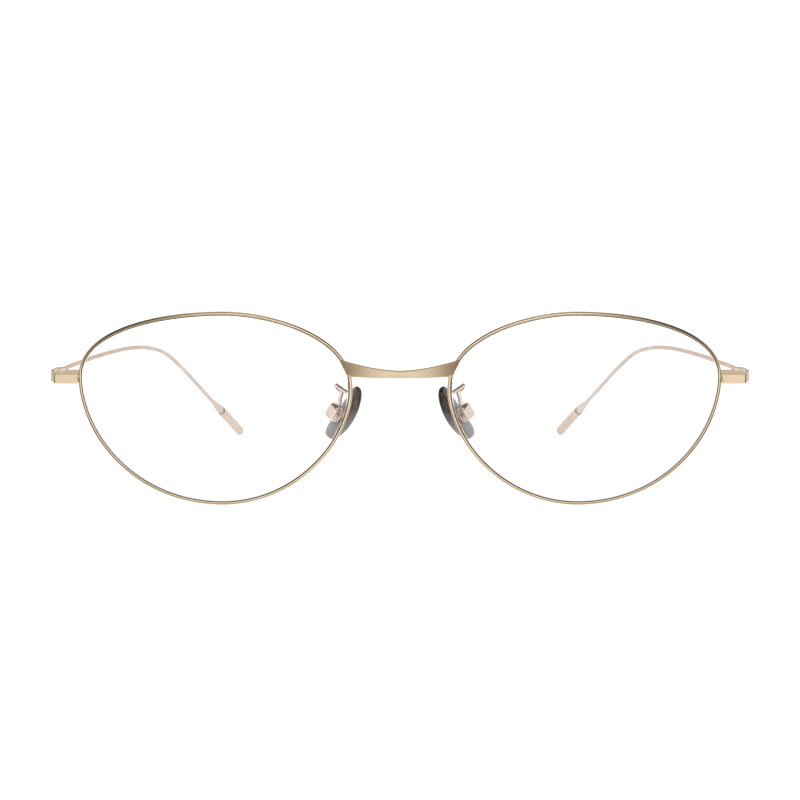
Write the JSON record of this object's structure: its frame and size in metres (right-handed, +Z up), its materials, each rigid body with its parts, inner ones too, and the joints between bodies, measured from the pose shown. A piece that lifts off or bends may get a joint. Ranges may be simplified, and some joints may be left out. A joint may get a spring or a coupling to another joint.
{
  "type": "eyeglasses frame",
  "caption": "Wire eyeglasses frame with oval full rims, clear lenses, sheet bridge, adjustable nose pads and folding wire temples",
  "frame": {"origin": "middle of the footprint, on the table that the rims and temple tips stand on", "axes": "+X to the wearer's left, +Y back towards the ears, +Z up; the front faces -Y"},
  "size_m": [0.138, 0.1413, 0.0381],
  "materials": {
    "polished_gold": "polished pale gold plating",
    "satin_gold": "satin brushed pale gold",
    "champagne_gold": "polished champagne gold plating",
    "tip_metal": "satin champagne gold coating",
    "screw_metal": "bright steel",
    "clear_lens": "clear, coated",
    "smoke_pad": "translucent smoke grey"
  },
  "bodies": {
    "front": {"bridge": "satin_gold", "rim_right": "polished_gold", "rim_left": "polished_gold", "lens_right": "clear_lens", "lens_left": "clear_lens", "end_piece_right": "satin_gold", "end_piece_left": "satin_gold", "rim_lock_upper_right": "polished_gold", "rim_lock_upper_left": "polished_gold", "rim_lock_lower_right": "polished_gold", "rim_lock_lower_left": "polished_gold", "rim_lock_screw_right": "screw_metal", "rim_lock_screw_left": "screw_metal", "hinge_front_leaf_right": "champagne_gold", "hinge_front_leaf_left": "champagne_gold", "hinge_screw_right": "screw_metal", "hinge_screw_left": "screw_metal", "pad_arm_right": "champagne_gold", "pad_arm_left": "champagne_gold", "pad_box_right": "champagne_gold", "pad_box_left": "champagne_gold", "pad_screw_right": "screw_metal", "pad_screw_left": "screw_metal"},
    "temple_right": {"hinge_temple_leaf_right": "champagne_gold", "temple_arm_right": "champagne_gold", "temple_tip_right": "tip_metal"},
    "temple_left": {"hinge_temple_leaf_left": "champagne_gold", "temple_arm_left": "champagne_gold", "temple_tip_left": "tip_metal"},
    "pad_right": {"pad_core_right": "screw_metal", "nose_pad_right": "smoke_pad"},
    "pad_left": {"pad_core_left": "screw_metal", "nose_pad_left": "smoke_pad"}
  },
  "joints": [
    {"name": "temple_right_fold", "type": "hinge", "parent": "front", "child": "temple_right", "pos_m": [-0.06686, -0.05995, 0.02515], "axis": [0, 0, -1], "range_deg": [0, 77]},
    {"name": "temple_left_fold", "type": "hinge", "parent": "front", "child": "temple_left", "pos_m": [0.06686, -0.05995, 0.02515], "axis": [0, 0, 1], "range_deg": [0, 81]},
    {"name": "pad_right_rock", "type": "hinge", "parent": "front", "child": "pad_right", "pos_m": [-0.01278, -0.06218, 0.01786], "axis": [0.424, -0.866, -0.265], "range_deg": [-8, 8]},
    {"name": "pad_left_rock", "type": "hinge", "parent": "front", "child": "pad_left", "pos_m": [0.01278, -0.06218, 0.01786], "axis": [0.424, 0.866, 0.265], "range_deg": [-8, 8]}
  ]
}
